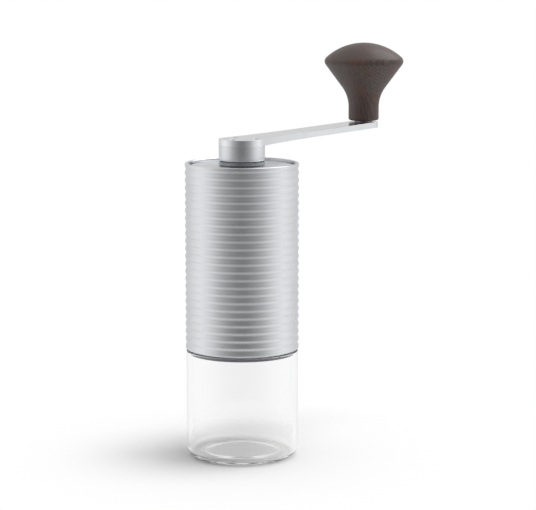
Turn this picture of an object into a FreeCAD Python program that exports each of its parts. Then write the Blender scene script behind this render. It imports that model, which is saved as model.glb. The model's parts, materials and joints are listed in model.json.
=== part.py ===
import FreeCAD, Part
import math
import os
import Sketcher

# Hand crank coffee grinder with a ribbed metal body, a glass jar and a wooden knob.
# Millimetres, +Z up, origin on the grinding axis where the jar stands, crank arm along +X.

SIZES = {
    # glass jar
    "jar_radius": 27.6,
    "jar_height": 53.65,
    "jar_wall": 2.2,
    "jar_floor": 3.2,
    "jar_rim_round": 0.5,
    "jar_edge_round": 4.5,
    "jar_corner_round": 2.8,
    # nylon collar in the jar's mouth, its thread and its two rubber rings
    "collar_plug": 2.2,
    "collar_round": 0.4,
    "collar_bore": 22.0,
    "collar_neck": 8.4,
    "gasket_thickness": 0.35,
    "gasket_inset": 0.15,
    "thread_pitch": 3.0,
    "thread_depth": 0.8,
    "thread_root_width": 1.6,
    "thread_crest_width": 0.7,
    "thread_start": 3.9,
    "thread_length": 3.4,
    "thread_clearance": 0.3,
    "seal_wire": 0.85,
    "seal_groove_depth": 0.6,
    # ribbed body
    "body_radius": 28.0,
    "body_height": 92.4,
    "body_bore": 25.2,
    "waist_bore": 24.0,
    "rib_pitch": 3.747,
    "rib_depth": 0.45,
    "rib_top_margin": 1.07,
    "rib_bottom_margin": 1.3,
    "edge_chamfer": 0.3,
    "burr_chamber": 37.9,
    "hopper_depth": 24.2,
    # lid
    "lid_recess": 1.3,
    "lid_thickness": 3.0,
    "lid_seat_radius": 26.2,
    "lid_gap": 0.4,
    "lid_seal_wire": 0.6,
    "lid_lip_setback": 0.7,
    # brackets that carry the bearings
    "bracket_height": 6.0,
    "bracket_ring": 3.4,
    "bracket_hub_radius": 10.5,
    "bracket_arm_width": 6.0,
    "bearing_lip": 0.8,
    "bearing_lip_radius": 6.8,
    # ball bearings
    "bearing_radius": 8.0,
    "bearing_width": 5.0,
    "ball_radius": 1.35,
    "race_gap": 1.5,
    "cage_wall": 0.9,
    "cage_height": 3.6,
    # shaft
    "shaft_radius": 4.0,
    "shoulder_radius": 5.0,
    "shaft_flats": 6.4,
    "shaft_hex": 6.0,
    "hex_below_hub": 5.0,
    "hex_end_gap": 0.8,
    "shaft_end": 1.2,
    # burrs
    "outer_burr_height": 20.0,
    "throat_top_radius": 20.6,
    "throat_radius": 18.1,
    "throat_land": 2.5,
    "inner_burr_height": 14.5,
    "inner_burr_top_radius": 7.6,
    "grind_gap": 0.6,
    "inner_burr_land": 2.0,
    "flute_radius": 1.5,
    "retainer_thickness": 2.6,
    "retainer_width": 5.4,
    "spanner_hole_radius": 1.4,
    "pin_radius": 1.25,
    "pin_length": 6.0,
    # spring and adjuster
    "spring_wire": 0.8,
    "spring_radius": 5.4,
    "washer_thickness": 0.8,
    "click_plate_radius": 13.0,
    "click_plate_thickness": 1.0,
    "dial_radius": 14.5,
    "dial_height": 4.6,
    "dial_floor": 1.0,
    "dial_travel": 1.5,
    "dial_grip_radius": 2.2,
    "click_ball_radius": 1.0,
    "click_spring_wire": 0.3,
    "click_circle": 10.0,
    # crank hub and its bush
    "bush_height": 2.2,
    "bush_foot_height": 0.6,
    "bush_foot_depth": 0.8,
    "bush_spigot_radius": 9.0,
    "hub_radius": 11.35,
    "hub_height": 7.65,
    "hub_edge_round": 1.0,
    "hub_seam": 0.12,
    "hub_spigot_radius": 7.0,
    "hub_spigot_drop": 1.9,
    "hub_roof": 2.6,
    # crank arm
    "crank_radius": 119.0,
    "arm_width": 15.4,
    "arm_thickness": 3.05,
    "arm_chamfer": 0.03,
    "arm_neck_round": 450.0,
    "screw_circle": 7.4,
    "screw_radius": 1.25,
    "screw_length": 8.0,
    "screw_head_radius": 2.3,
    "screw_socket": 1.9,
    "screw_socket_depth": 0.95,
    # knob
    "knob_height": 41.4,
    "knob_base_radius": 8.1,
    "knob_base_round": 1.2,
    "knob_radius": 21.05,
    "knob_rim_round": 3.0,
    "knob_rim_below_top": 9.95,
    "knob_flare_round": 18.0,
    "knob_cone_angle": 36.5,
    "knob_washer_thickness": 0.7,
    "knob_washer_rim": 0.3,
    "spindle_radius": 3.0,
    "spindle_end": 2.0,
    "knob_bush_wall": 1.4,
    "knob_bush_length": 19.6,
    # retaining rings and clearances
    "clip_thickness": 0.8,
    "clip_width": 2.2,
    "clip_groove": 0.7,
    "clip_gap_angle": 40.0,
    "press_gap": 0.02,
    "running_gap": 0.05,
    "seat_gap": 0.1,
}

ARMS = 3
SCREWS = 3
BEARING_BALLS = 8
INNER_FLUTES = 9
INNER_FLUTE_LEAN = -35
OUTER_FLUTES = 14
OUTER_FLUTE_LEAN = 20
SPANNER_HOLES = 4
LOCATING_PINS = 2
DIAL_GRIPS = 12
CLICK_BALLS = 2
BURR_SPRING_TURNS = 3.5
CLICK_SPRING_TURNS = 2

doc = FreeCAD.newDocument("coffee_grinder")
sheet = doc.addObject("Spreadsheet::Sheet", "Sheet")
for row, (alias, size) in enumerate(SIZES.items(), start=1):
    sheet.set(f"A{row}", alias)
    sheet.set(f"B{row}", str(size))
    sheet.setAlias(f"B{row}", alias)
doc.recompute()


# A length that knows its number and the sheet formula that it comes from.
class Size:
    def __init__(self, value, text):
        self.value = value
        self.text = text

    def __add__(self, other):
        return Size(number(self) + number(other), f"({formula(self)} + {formula(other)})")

    def __radd__(self, other):
        return Size(number(other) + number(self), f"({formula(other)} + {formula(self)})")

    def __sub__(self, other):
        return Size(number(self) - number(other), f"({formula(self)} - {formula(other)})")

    def __rsub__(self, other):
        return Size(number(other) - number(self), f"({formula(other)} - {formula(self)})")

    def __mul__(self, other):
        return Size(number(self) * number(other), f"({formula(self)} * {formula(other)})")

    def __rmul__(self, other):
        return Size(number(other) * number(self), f"({formula(other)} * {formula(self)})")

    def __truediv__(self, other):
        return Size(number(self) / number(other), f"({formula(self)} / {formula(other)})")

    def __neg__(self):
        return Size(-number(self), f"(-1 * {formula(self)})")


def number(size):
    return size.value if isinstance(size, Size) else float(size)


def formula(size):
    return size.text if isinstance(size, Size) else repr(float(size))


def root(size):
    return Size(math.sqrt(number(size)), f"sqrt({formula(size)})")


def sine(angle):
    return Size(math.sin(math.radians(number(angle))), f"sin({formula(angle)})")


def cosine(angle):
    return Size(math.cos(math.radians(number(angle))), f"cos({formula(angle)})")


# The sheet's sizes, read back by alias: d.jar_radius and so on.
class Dimensions:
    pass


d = Dimensions()
for alias in SIZES:
    setattr(d, alias, Size(float(sheet.get(alias)), f"Sheet.{alias}"))

# Levels along the grinding axis, from the table up.
body_bottom = d.jar_height + d.gasket_thickness + d.running_gap * 2
body_top = body_bottom + d.body_height
neck_top = body_bottom + d.collar_neck
lower_ledge = body_bottom + d.burr_chamber
lower_bracket_bottom = lower_ledge - d.bracket_height
lower_bearing_bottom = lower_bracket_bottom + d.bearing_lip
lower_bearing_top = lower_bearing_bottom + d.bearing_width
burr_bottom = lower_bracket_bottom - d.outer_burr_height
retainer_bottom = burr_bottom - d.retainer_thickness
inner_burr_top = burr_bottom + d.inner_burr_height
washer_bottom = lower_bearing_bottom - d.washer_thickness
click_plate_bottom = burr_bottom - d.click_plate_thickness
dial_top = click_plate_bottom - d.seat_gap
dial_bottom = dial_top - d.dial_height
end_clip_top = dial_bottom - d.dial_travel - d.seat_gap
end_clip_bottom = end_clip_top - d.clip_thickness
shaft_bottom = end_clip_bottom - d.shaft_end
lid_top = body_top - d.lid_recess
lid_bottom = lid_top - d.lid_thickness
upper_ledge = lid_bottom - d.hopper_depth
upper_bracket_top = upper_ledge + d.bracket_height
upper_bearing_top = upper_bracket_top - d.bearing_lip
upper_bearing_bottom = upper_bearing_top - d.bearing_width
bush_top = lid_top + d.bush_height
hub_bottom = bush_top + d.running_gap
hub_top = hub_bottom + d.hub_height
hub_spigot_bottom = lid_bottom - d.hub_spigot_drop
hub_clip_top = lid_bottom - d.seat_gap
hub_clip_bottom = hub_clip_top - d.clip_thickness
socket_top = hub_top - d.hub_roof
arm_top = hub_top + d.arm_thickness
knob_bottom = arm_top + d.knob_washer_thickness + d.seat_gap
knob_top = knob_bottom + d.knob_height

# Thread radii: the collar's ridge runs inside the body's groove.
neck_radius = d.body_bore - d.thread_clearance
ridge_radius = neck_radius + d.thread_depth
groove_radius = ridge_radius + d.thread_clearance
ridge_level = body_bottom + d.thread_start

# The seal ring sits round the foot of the neck, in a relief of the body's mouth.
seal_groove_radius = neck_radius - d.seal_groove_depth
seal_centre_radius = seal_groove_radius + d.running_gap + d.seal_wire
seal_level = body_bottom + d.running_gap + d.seal_wire
relief_radius = seal_centre_radius + d.seal_wire + d.thread_clearance
relief_top = seal_level + d.seal_wire + d.thread_clearance

pieces = []


# Keeps an object as one named piece of the grinder.
def piece(thing, label):
    thing.Label = label
    pieces.append(thing)
    return thing


def bind(thing, **sizes):
    for name, size in sizes.items():
        thing.setExpression(name, formula(size))


def place(thing, x=0, y=0, z=0, turn=0):
    axis = FreeCAD.Vector(0, 0, 1)
    spot = FreeCAD.Vector(number(x), number(y), number(z))
    thing.Placement = FreeCAD.Placement(spot, FreeCAD.Rotation(axis, turn))
    for name, size in (("x", x), ("y", y), ("z", z)):
        if isinstance(size, Size):
            thing.setExpression(f"Placement.Base.{name}", formula(size))
    return thing


# The angles of evenly spaced copies round the axis, in degrees.
def spread(count, start=0):
    return [start + 360 * i / count for i in range(count)]


def around(radius, angle):
    return radius * math.cos(math.radians(angle)), radius * math.sin(math.radians(angle))


def origin_plane(body, role):
    return [plane for plane in body.Origin.OriginFeatures if plane.Role == role][0]


# An arc of less than half a circle; side 1 bulges to the right of the way from start to end.
def arc_between(start, end, radius, side):
    chord = end - start
    rise = math.sqrt(radius ** 2 - (chord.Length / 2) ** 2)
    left = FreeCAD.Vector(-chord.y, chord.x, 0).normalize()
    centre = (start + end) * 0.5 + left * (rise * side)
    first, last = (start, end) if side > 0 else (end, start)
    turn_in = math.atan2(first.y - centre.y, first.x - centre.x)
    turn_out = math.atan2(last.y - centre.y, last.x - centre.x)
    circle = Part.Circle(centre, FreeCAD.Vector(0, 0, 1), radius)
    return Part.ArcOfCircle(circle, turn_in, turn_out)


# Draws a closed outline. A corner is (x, y), or (x, y, radius, side) where an arc leaves it.
def draw(sketch, corners):
    spots = [FreeCAD.Vector(number(c[0]), number(c[1]), 0) for c in corners]
    rules = []
    formulas = []
    starts = []
    ends = []

    def rule(size, *words):
        formulas.append((len(rules), formula(size)))
        rules.append(Sketcher.Constraint(*words, number(size)))

    for i, corner in enumerate(corners):
        here, there = spots[i], spots[(i + 1) % len(spots)]
        head, tail = 1, 2
        if len(corner) == 2:
            edge = sketch.addGeometry(Part.LineSegment(here, there), False)
        else:
            radius, side = corner[2:]
            edge = sketch.addGeometry(arc_between(here, there, number(radius), side), False)
            rule(radius, "Radius", edge)
            head, tail = (1, 2) if side > 0 else (2, 1)
        starts.append((edge, head))
        ends.append((edge, tail))
    for i, corner in enumerate(corners):
        rules.append(Sketcher.Constraint("Coincident", *ends[i - 1], *starts[i]))
        for size, word, axis in ((corner[0], "DistanceX", -2), (corner[1], "DistanceY", -1)):
            if number(size) == 0:
                rules.append(Sketcher.Constraint("PointOnObject", *starts[i], axis))
            elif number(size) > 0:
                rule(size, word, -1, 1, *starts[i])
            else:
                rule(-size, word, *starts[i], -1, 1)
    sketch.addConstraint(rules)
    for index, text in formulas:
        sketch.setExpression(f"Constraints[{index}]", text)


def outline(body, role, corners, name):
    sketch = body.newObject("Sketcher::SketchObject", name)
    sketch.AttachmentSupport = (origin_plane(body, role), [""])
    sketch.MapMode = "FlatFace"
    draw(sketch, corners)
    return sketch


# A piece turned on a lathe: its outline of (radius, level) corners goes once round the axis.
def turned(label, corners, angle=360):
    body = doc.addObject("PartDesign::Body", label)
    sketch = outline(body, "XZ_Plane", corners, f"{label}_outline")
    turning = body.newObject("PartDesign::Revolution", f"{label}_turning")
    turning.Profile = sketch
    turning.ReferenceAxis = (sketch, ["V_Axis"])
    turning.Angle = number(angle)
    if isinstance(angle, Size):
        bind(turning, Angle=angle)
    return body


def tube_corners(inner, outer, bottom, top):
    return [(inner, bottom), (outer, bottom), (outer, top), (inner, top)]


def cylinder(name, radius, height, **spot):
    rod = doc.addObject("Part::Cylinder", name)
    bind(rod, Radius=radius, Height=height)
    return place(rod, **spot)


def sphere(name, radius, **spot):
    ball = doc.addObject("Part::Sphere", name)
    bind(ball, Radius=radius)
    return place(ball, **spot)


# A box whose X runs from the axis outwards, or both ways from it where centred.
def bar(name, length, width, height, bottom, turn=0, centred=False):
    block = doc.addObject("Part::Box", name)
    bind(block, Length=length, Width=width, Height=height)
    shift = FreeCAD.Vector(-number(length) / 2 if centred else 0, -number(width) / 2, 0)
    turning = FreeCAD.Rotation(FreeCAD.Vector(0, 0, 1), turn)
    corner = turning.multVec(shift)
    block.Placement = FreeCAD.Placement(corner + FreeCAD.Vector(0, 0, number(bottom)), turning)
    return block


# A six-sided bar given by the width across its flats.
def hexagon(name, across_flats, height, **spot):
    prism = doc.addObject("Part::Prism", name)
    prism.Polygon = 6
    bind(prism, Circumradius=across_flats / math.sqrt(3), Height=height)
    return place(prism, **spot)


# A rod between two points, for flutes that run down a cone.
def rod_between(name, radius, foot, head):
    run = head - foot
    rod = doc.addObject("Part::Cylinder", name)
    bind(rod, Radius=radius)
    rod.Height = run.Length
    rod.Placement = FreeCAD.Placement(foot, FreeCAD.Rotation(FreeCAD.Vector(0, 0, 1), run))
    return rod


def joined(name, things):
    union = doc.addObject("Part::MultiFuse", name)
    union.Shapes = things
    return union


def cut(name, base, tools):
    difference = doc.addObject("Part::Cut", name)
    difference.Base = base
    difference.Tool = tools[0] if len(tools) == 1 else joined(f"{name}_tools", tools)
    return difference


def group(label, things):
    compound = doc.addObject("Part::Compound", label)
    compound.Links = things
    return piece(compound, label)


# A rod with two flats, the form on which the inner burr slides and is driven.
def flatted_rod(name, radius, flats, bottom, top):
    rod = cylinder(f"{name}_round", radius, top - bottom, z=bottom)
    block = bar(f"{name}_flats", radius * 4, flats, top - bottom, bottom, centred=True)
    form = doc.addObject("Part::MultiCommon", name)
    form.Shapes = [rod, block]
    return form


# An open retaining ring.
def retaining_ring(label, inner, outer, bottom):
    corners = tube_corners(inner, outer, bottom, bottom + d.clip_thickness)
    return piece(turned(label, corners, 360 - d.clip_gap_angle), label)


# Half of a coil's bend: the point midway along the arc that leaves start in the given direction.
def arc_middle(start, direction, end):
    chord = end - start
    along = chord * (1 / chord.Length)
    across = direction - along * direction.dot(along)
    bend = math.atan2(across.Length, direction.dot(along))
    return start + chord * 0.5 + across.normalize() * (chord.Length / 2 * math.tan(bend / 2))


# One round wire wound up the axis, each quarter turn as two arcs that meet in line.
def coil(wire, radius, bottom, top, turns):
    start = bottom + wire / 2
    climb = (top - bottom - wire) / turns
    quarters = round(turns * 4)

    def spot(angle):
        return FreeCAD.Vector(radius * math.cos(angle), radius * math.sin(angle),
                              start + climb * angle / (2 * math.pi))

    def heading(angle):
        rise = climb / (2 * math.pi)
        return FreeCAD.Vector(-radius * math.sin(angle), radius * math.cos(angle), rise).normalize()

    edges = []
    for i in range(quarters):
        near, far = math.pi / 2 * i, math.pi / 2 * (i + 1)
        first, last = spot(near), spot(far)
        way_in, way_out = heading(near), heading(far)
        gap = last - first
        spare = 2 * (1 - way_in.dot(way_out))
        reach = gap.dot(way_in + way_out)
        arm = (-reach + math.sqrt(reach ** 2 + spare * gap.dot(gap))) / spare
        meeting = (first + way_in * arm + last - way_out * arm) * 0.5
        middle_in = arc_middle(first, way_in, meeting)
        middle_out = arc_middle(last, way_out * -1, meeting)
        edges.append(Part.Arc(first, middle_in, meeting).toShape())
        edges.append(Part.Arc(meeting, middle_out, last).toShape())
    print(f"coil of {turns} turns, gap between turns {climb - wire:.2f} mm")
    section = Part.Wire(Part.Circle(spot(0), heading(0), wire / 2).toShape())
    shell = Part.BRepOffsetAPI.MakePipeShell(Part.Wire(edges))
    shell.add(section)
    shell.build()
    shell.makeSolid()
    return shell.shape()


# Glass jar: straight wall, rounded rim, wide round at the foot and a rounded inner corner.
def make_jar():
    inside = d.jar_radius - d.jar_wall
    edge, corner, rim = d.jar_edge_round, d.jar_corner_round, d.jar_rim_round
    glass = turned("jar_glass", [
        (0, 0),
        (d.jar_radius - edge, 0, edge, 1),
        (d.jar_radius, edge),
        (d.jar_radius, d.jar_height - rim, rim, 1),
        (d.jar_radius - rim, d.jar_height),
        (inside + rim, d.jar_height, rim, 1),
        (inside, d.jar_height - rim),
        (inside, d.jar_floor + corner, corner, -1),
        (inside - corner, d.jar_floor),
        (0, d.jar_floor),
    ])
    piece(glass, "jar_glass")
    gasket = tube_corners(inside + rim, d.jar_radius - d.gasket_inset, d.jar_height + d.running_gap,
                          body_bottom - d.running_gap)
    piece(turned("jar_gasket", gasket), "jar_gasket")
    make_collar(inside - d.running_gap)
    seal = turned("jar_seal", [
        (seal_centre_radius - d.seal_wire, seal_level, d.seal_wire, 1),
        (seal_centre_radius, seal_level - d.seal_wire, d.seal_wire, 1),
        (seal_centre_radius + d.seal_wire, seal_level, d.seal_wire, 1),
        (seal_centre_radius, seal_level + d.seal_wire, d.seal_wire, 1),
    ])
    piece(seal, "jar_seal")


# Collar: plug bonded in the glass's mouth, neck with a screw ridge.
def make_collar(plug_radius):
    plug_bottom = body_bottom - d.collar_plug
    seal_top = seal_level + d.seal_wire + d.running_gap
    collar = turned("jar_collar", [
        (d.collar_bore, plug_bottom),
        (plug_radius - d.collar_round, plug_bottom, d.collar_round, 1),
        (plug_radius, plug_bottom + d.collar_round),
        (plug_radius, body_bottom),
        (seal_groove_radius, body_bottom),
        (seal_groove_radius, seal_top),
        (neck_radius, seal_top),
        (neck_radius, neck_top - d.edge_chamfer),
        (neck_radius - d.edge_chamfer, neck_top),
        (d.collar_bore, neck_top),
    ])
    half_root, half_crest = d.thread_root_width / 2, d.thread_crest_width / 2
    foot = neck_radius - d.thread_clearance
    lean = (half_root - half_crest) * d.thread_clearance / d.thread_depth
    ridge = outline(collar, "XZ_Plane", [
        (foot, ridge_level - half_root - lean),
        (ridge_radius, ridge_level - half_crest),
        (ridge_radius, ridge_level + half_crest),
        (foot, ridge_level + half_root + lean),
    ], "collar_ridge")
    thread = collar.newObject("PartDesign::AdditiveHelix", "collar_thread")
    thread.Profile = ridge
    thread.ReferenceAxis = (ridge, ["V_Axis"])
    thread.Mode = 0
    bind(thread, Pitch=d.thread_pitch, Height=d.thread_length)
    piece(collar, "jar_collar")


# Body: one wave per rib outside, stepped bore inside, screw groove and seal relief at the mouth.
def make_body():
    flank = d.body_radius - d.rib_depth / 2
    wave = (d.rib_pitch * d.rib_pitch / 16 + d.rib_depth * d.rib_depth / 4) / d.rib_depth
    ribbed = d.body_height - d.rib_top_margin - d.rib_bottom_margin
    ribs = int(number(ribbed) / number(d.rib_pitch)) + 1
    crests = [body_top - d.rib_top_margin - d.rib_pitch * k for k in reversed(range(ribs))]
    ripples = []
    for crest in crests:
        ripples.append((flank, crest - d.rib_pitch / 4, wave, 1))
        ripples.append((flank, crest + d.rib_pitch / 4, wave, -1))
    ripples[-1] = ripples[-1][:2]
    groove_bottom = upper_bracket_top + d.running_gap
    groove_top = groove_bottom + d.clip_thickness + d.seat_gap
    clip_groove = d.body_bore + d.clip_groove
    shell = turned("body_shell", [
        (relief_radius, body_bottom),
        (d.body_radius - d.rib_depth - d.edge_chamfer, body_bottom),
    ] + ripples + [
        (d.body_radius - d.rib_depth, body_top),
        (d.lid_seat_radius + d.edge_chamfer, body_top),
        (d.lid_seat_radius, body_top - d.edge_chamfer),
        (d.lid_seat_radius, lid_bottom),
        (d.body_bore, lid_bottom),
        (d.body_bore, groove_top),
        (clip_groove, groove_top),
        (clip_groove, groove_bottom),
        (d.body_bore, groove_bottom),
        (d.body_bore, upper_ledge),
        (d.waist_bore, upper_ledge),
        (d.waist_bore, lower_ledge),
        (d.body_bore, lower_ledge),
        (d.body_bore, relief_top + (relief_radius - d.body_bore) / 2),
        (relief_radius, relief_top),
    ])
    half_root = d.thread_root_width / 2 + d.thread_clearance
    half_crest = d.thread_crest_width / 2 + d.thread_clearance
    mouth = d.body_bore - d.thread_clearance
    lean = (half_root - half_crest) * d.thread_clearance / d.thread_depth
    start = ridge_level - d.thread_pitch
    groove = outline(shell, "XZ_Plane", [
        (mouth, start - half_root - lean),
        (groove_radius, start - half_crest),
        (groove_radius, start + half_crest),
        (mouth, start + half_root + lean),
    ], "body_groove")
    thread = shell.newObject("PartDesign::SubtractiveHelix", "body_thread")
    thread.Profile = groove
    thread.ReferenceAxis = (groove, ["V_Axis"])
    thread.Mode = 0
    bind(thread, Pitch=d.thread_pitch, Height=d.thread_length + d.thread_pitch * 1.5)
    piece(shell, "body_shell")
    clip_radius = clip_groove - d.running_gap
    retaining_ring("upper_bracket_clip", clip_radius - d.clip_width, clip_radius, groove_bottom)


# Three-armed bracket: rim in the bore, hub with a bearing seat, open windows for the beans.
def make_bracket(label, bottom, seat_bottom, seat_top, holes=()):
    rim_radius = d.body_bore - d.running_gap
    windows = rim_radius - d.bracket_ring
    top = bottom + d.bracket_height
    rim = turned(f"{label}_rim", tube_corners(windows, rim_radius, bottom, top))
    hub = cylinder(f"{label}_hub", d.bracket_hub_radius, d.bracket_height, z=bottom)
    reach = windows + d.bracket_ring / 2
    arms = [bar(f"{label}_arm_{i}", reach, d.bracket_arm_width, d.bracket_height, bottom, angle)
            for i, angle in enumerate(spread(ARMS))]
    seat = cylinder(f"{label}_seat", d.bearing_radius + d.press_gap, seat_top - seat_bottom, z=seat_bottom)
    bore = cylinder(f"{label}_bore", d.bearing_lip_radius, d.bracket_height, z=bottom)
    solid = joined(f"{label}_frame", [rim, hub] + arms)
    piece(cut(label, solid, [seat, bore] + list(holes)), label)


# Deep-groove ball bearing: two races, a ring of balls and the cage that spaces them.
def make_bearing(label, bottom):
    middle = bottom + d.bearing_width / 2
    top = bottom + d.bearing_width
    pitch_radius = (d.shaft_radius + d.bearing_radius) / 2
    inner_land = pitch_radius - d.race_gap / 2
    outer_land = pitch_radius + d.race_gap / 2
    groove = d.ball_radius + d.running_gap
    half = root(groove * groove - d.race_gap * d.race_gap / 4)
    bore = d.shaft_radius + d.press_gap
    inner = turned(f"{label}_inner_race", [
        (bore, bottom),
        (inner_land, bottom),
        (inner_land, middle - half, groove, -1),
        (inner_land, middle + half),
        (inner_land, top),
        (bore, top),
    ])
    outer = turned(f"{label}_outer_race", [
        (outer_land, bottom),
        (d.bearing_radius, bottom),
        (d.bearing_radius, top),
        (outer_land, top),
        (outer_land, middle + half, groove, -1),
        (outer_land, middle - half),
    ])
    piece(outer, f"{label}_outer_race")
    piece(inner, f"{label}_inner_race")
    balls = []
    pockets = []
    for i, angle in enumerate(spread(BEARING_BALLS, 180 / BEARING_BALLS)):
        x, y = around(pitch_radius, angle)
        balls.append(sphere(f"{label}_ball_{i}", d.ball_radius, x=x, y=y, z=middle))
        foot, head = (FreeCAD.Vector(*map(number, (*around(radius, angle), middle)))
                      for radius in (pitch_radius - d.cage_wall, pitch_radius + d.cage_wall))
        pockets.append(rod_between(f"{label}_pocket_{i}", groove, foot, head))
    group(f"{label}_balls", balls)
    ring = turned(f"{label}_cage_ring", tube_corners(
        pitch_radius - d.cage_wall / 2, pitch_radius + d.cage_wall / 2,
        middle - d.cage_height / 2, middle + d.cage_height / 2))
    piece(cut(f"{label}_cage", ring, pockets), f"{label}_cage")


# Straight flutes that lean as they run down a cone, one cutting rod each.
def flute_rods(name, count, low_radius, low, high_radius, high, lean):
    rods = []
    for i, angle in enumerate(spread(count)):
        foot_turn, head_turn = math.radians(angle), math.radians(angle + lean)
        foot = FreeCAD.Vector(low_radius * math.cos(foot_turn), low_radius * math.sin(foot_turn), low)
        head = FreeCAD.Vector(high_radius * math.cos(head_turn), high_radius * math.sin(head_turn), high)
        rods.append(rod_between(f"{name}_{i}", d.flute_radius, foot, head))
    return rods


# Fixed burr: fluted throat that narrows to the grinding land, pinned to the lower bracket.
def make_outer_burr():
    radius = d.body_bore - d.running_gap
    land_top = burr_bottom + d.throat_land
    ring = turned("outer_burr_ring", [
        (d.throat_radius, burr_bottom),
        (radius, burr_bottom),
        (radius, lower_bracket_bottom),
        (d.throat_top_radius, lower_bracket_bottom),
        (d.throat_radius, land_top),
    ])
    flutes = flute_rods("outer_flute", OUTER_FLUTES, number(d.throat_radius), number(land_top),
                        number(d.throat_top_radius), number(lower_bracket_bottom + d.flute_radius),
                        OUTER_FLUTE_LEAN)
    pins = []
    holes = []
    sockets = []
    pin_circle = radius - d.bracket_ring / 2
    between_flutes = OUTER_FLUTE_LEAN + 360 / OUTER_FLUTES * 1.5
    for i, angle in enumerate(spread(LOCATING_PINS, between_flutes)):
        x, y = around(pin_circle, angle)
        foot = lower_bracket_bottom - d.pin_length / 2
        hole = d.pin_radius + d.press_gap
        pins.append(cylinder(f"locating_pin_{i}", d.pin_radius, d.pin_length, x=x, y=y, z=foot))
        holes.append(cylinder(f"burr_pin_hole_{i}", hole, d.pin_length, x=x, y=y, z=foot))
        sockets.append(cylinder(f"bracket_pin_hole_{i}", hole, d.pin_length, x=x, y=y, z=foot))
    piece(cut("outer_burr", ring, flutes + holes), "outer_burr")
    group("burr_locating_pins", pins)
    retainer_inner = radius - d.retainer_width
    plate = turned("retainer_ring", tube_corners(retainer_inner, radius, retainer_bottom, burr_bottom))
    spanner = []
    for i, angle in enumerate(spread(SPANNER_HOLES)):
        x, y = around(retainer_inner + d.retainer_width / 2, angle)
        spanner.append(cylinder(f"spanner_hole_{i}", d.spanner_hole_radius, d.retainer_thickness,
                                x=x, y=y, z=retainer_bottom))
    piece(cut("burr_retaining_ring", plate, spanner), "burr_retaining_ring")
    return sockets


# Turning burr: fluted cone with a flatted bore that slides on the shaft.
def make_inner_burr():
    radius = d.throat_radius - d.grind_gap
    land_top = burr_bottom + d.inner_burr_land
    cone = turned("inner_burr_cone", [
        (0, burr_bottom),
        (radius, burr_bottom),
        (radius, land_top),
        (d.inner_burr_top_radius, inner_burr_top),
        (0, inner_burr_top),
    ])
    flutes = flute_rods("inner_flute", INNER_FLUTES, number(radius + d.flute_radius / 2), number(land_top),
                        number(d.inner_burr_top_radius), number(inner_burr_top + d.flute_radius / 2),
                        INNER_FLUTE_LEAN)
    bore = flatted_rod("inner_burr_bore", d.shaft_radius + d.running_gap,
                       d.shaft_flats + d.running_gap * 2, burr_bottom, inner_burr_top)
    piece(cut("inner_burr", cone, flutes + [bore]), "inner_burr")
    plate = cylinder("click_plate_disc", d.click_plate_radius, d.click_plate_thickness, z=click_plate_bottom)
    hole = flatted_rod("click_plate_bore", d.shaft_radius + d.running_gap,
                       d.shaft_flats + d.running_gap * 2, click_plate_bottom, burr_bottom)
    piece(cut("click_plate", plate, [hole]), "click_plate")


# Grind adjuster: a gripped nut below the burr, with two sprung balls that click on the plate above.
def make_dial():
    nut = turned("dial_nut", tube_corners(
        d.shaft_radius + d.running_gap, d.dial_radius, dial_bottom, dial_top))
    tools = []
    for i, angle in enumerate(spread(DIAL_GRIPS)):
        x, y = around(d.dial_radius + d.dial_grip_radius / 2, angle)
        tools.append(cylinder(f"dial_grip_{i}", d.dial_grip_radius, d.dial_height, x=x, y=y, z=dial_bottom))
    pocket_floor = dial_bottom + d.dial_floor
    balls = []
    springs = []
    ball_level = dial_top - d.click_ball_radius
    wire = d.click_spring_wire
    coil_radius = d.click_ball_radius - d.running_gap - wire / 2
    reach = d.click_ball_radius + d.running_gap + wire / 2
    coil_top = ball_level - root(reach * reach - coil_radius * coil_radius) + wire / 2
    for i, angle in enumerate(spread(CLICK_BALLS)):
        x, y = around(d.click_circle, angle)
        tools.append(cylinder(f"click_pocket_{i}", d.click_ball_radius + d.running_gap, d.dial_height,
                              x=x, y=y, z=pocket_floor))
        balls.append(sphere(f"click_ball_{i}", d.click_ball_radius, x=x, y=y, z=ball_level))
        spring = doc.addObject("Part::Feature", f"click_spring_{i}")
        spring.Shape = coil(number(wire), number(coil_radius), number(pocket_floor), number(coil_top),
                            CLICK_SPRING_TURNS)
        springs.append(place(spring, x=x, y=y))
    piece(cut("adjuster_dial", nut, tools), "adjuster_dial")
    group("click_balls", balls)
    group("click_springs", springs)


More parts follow.
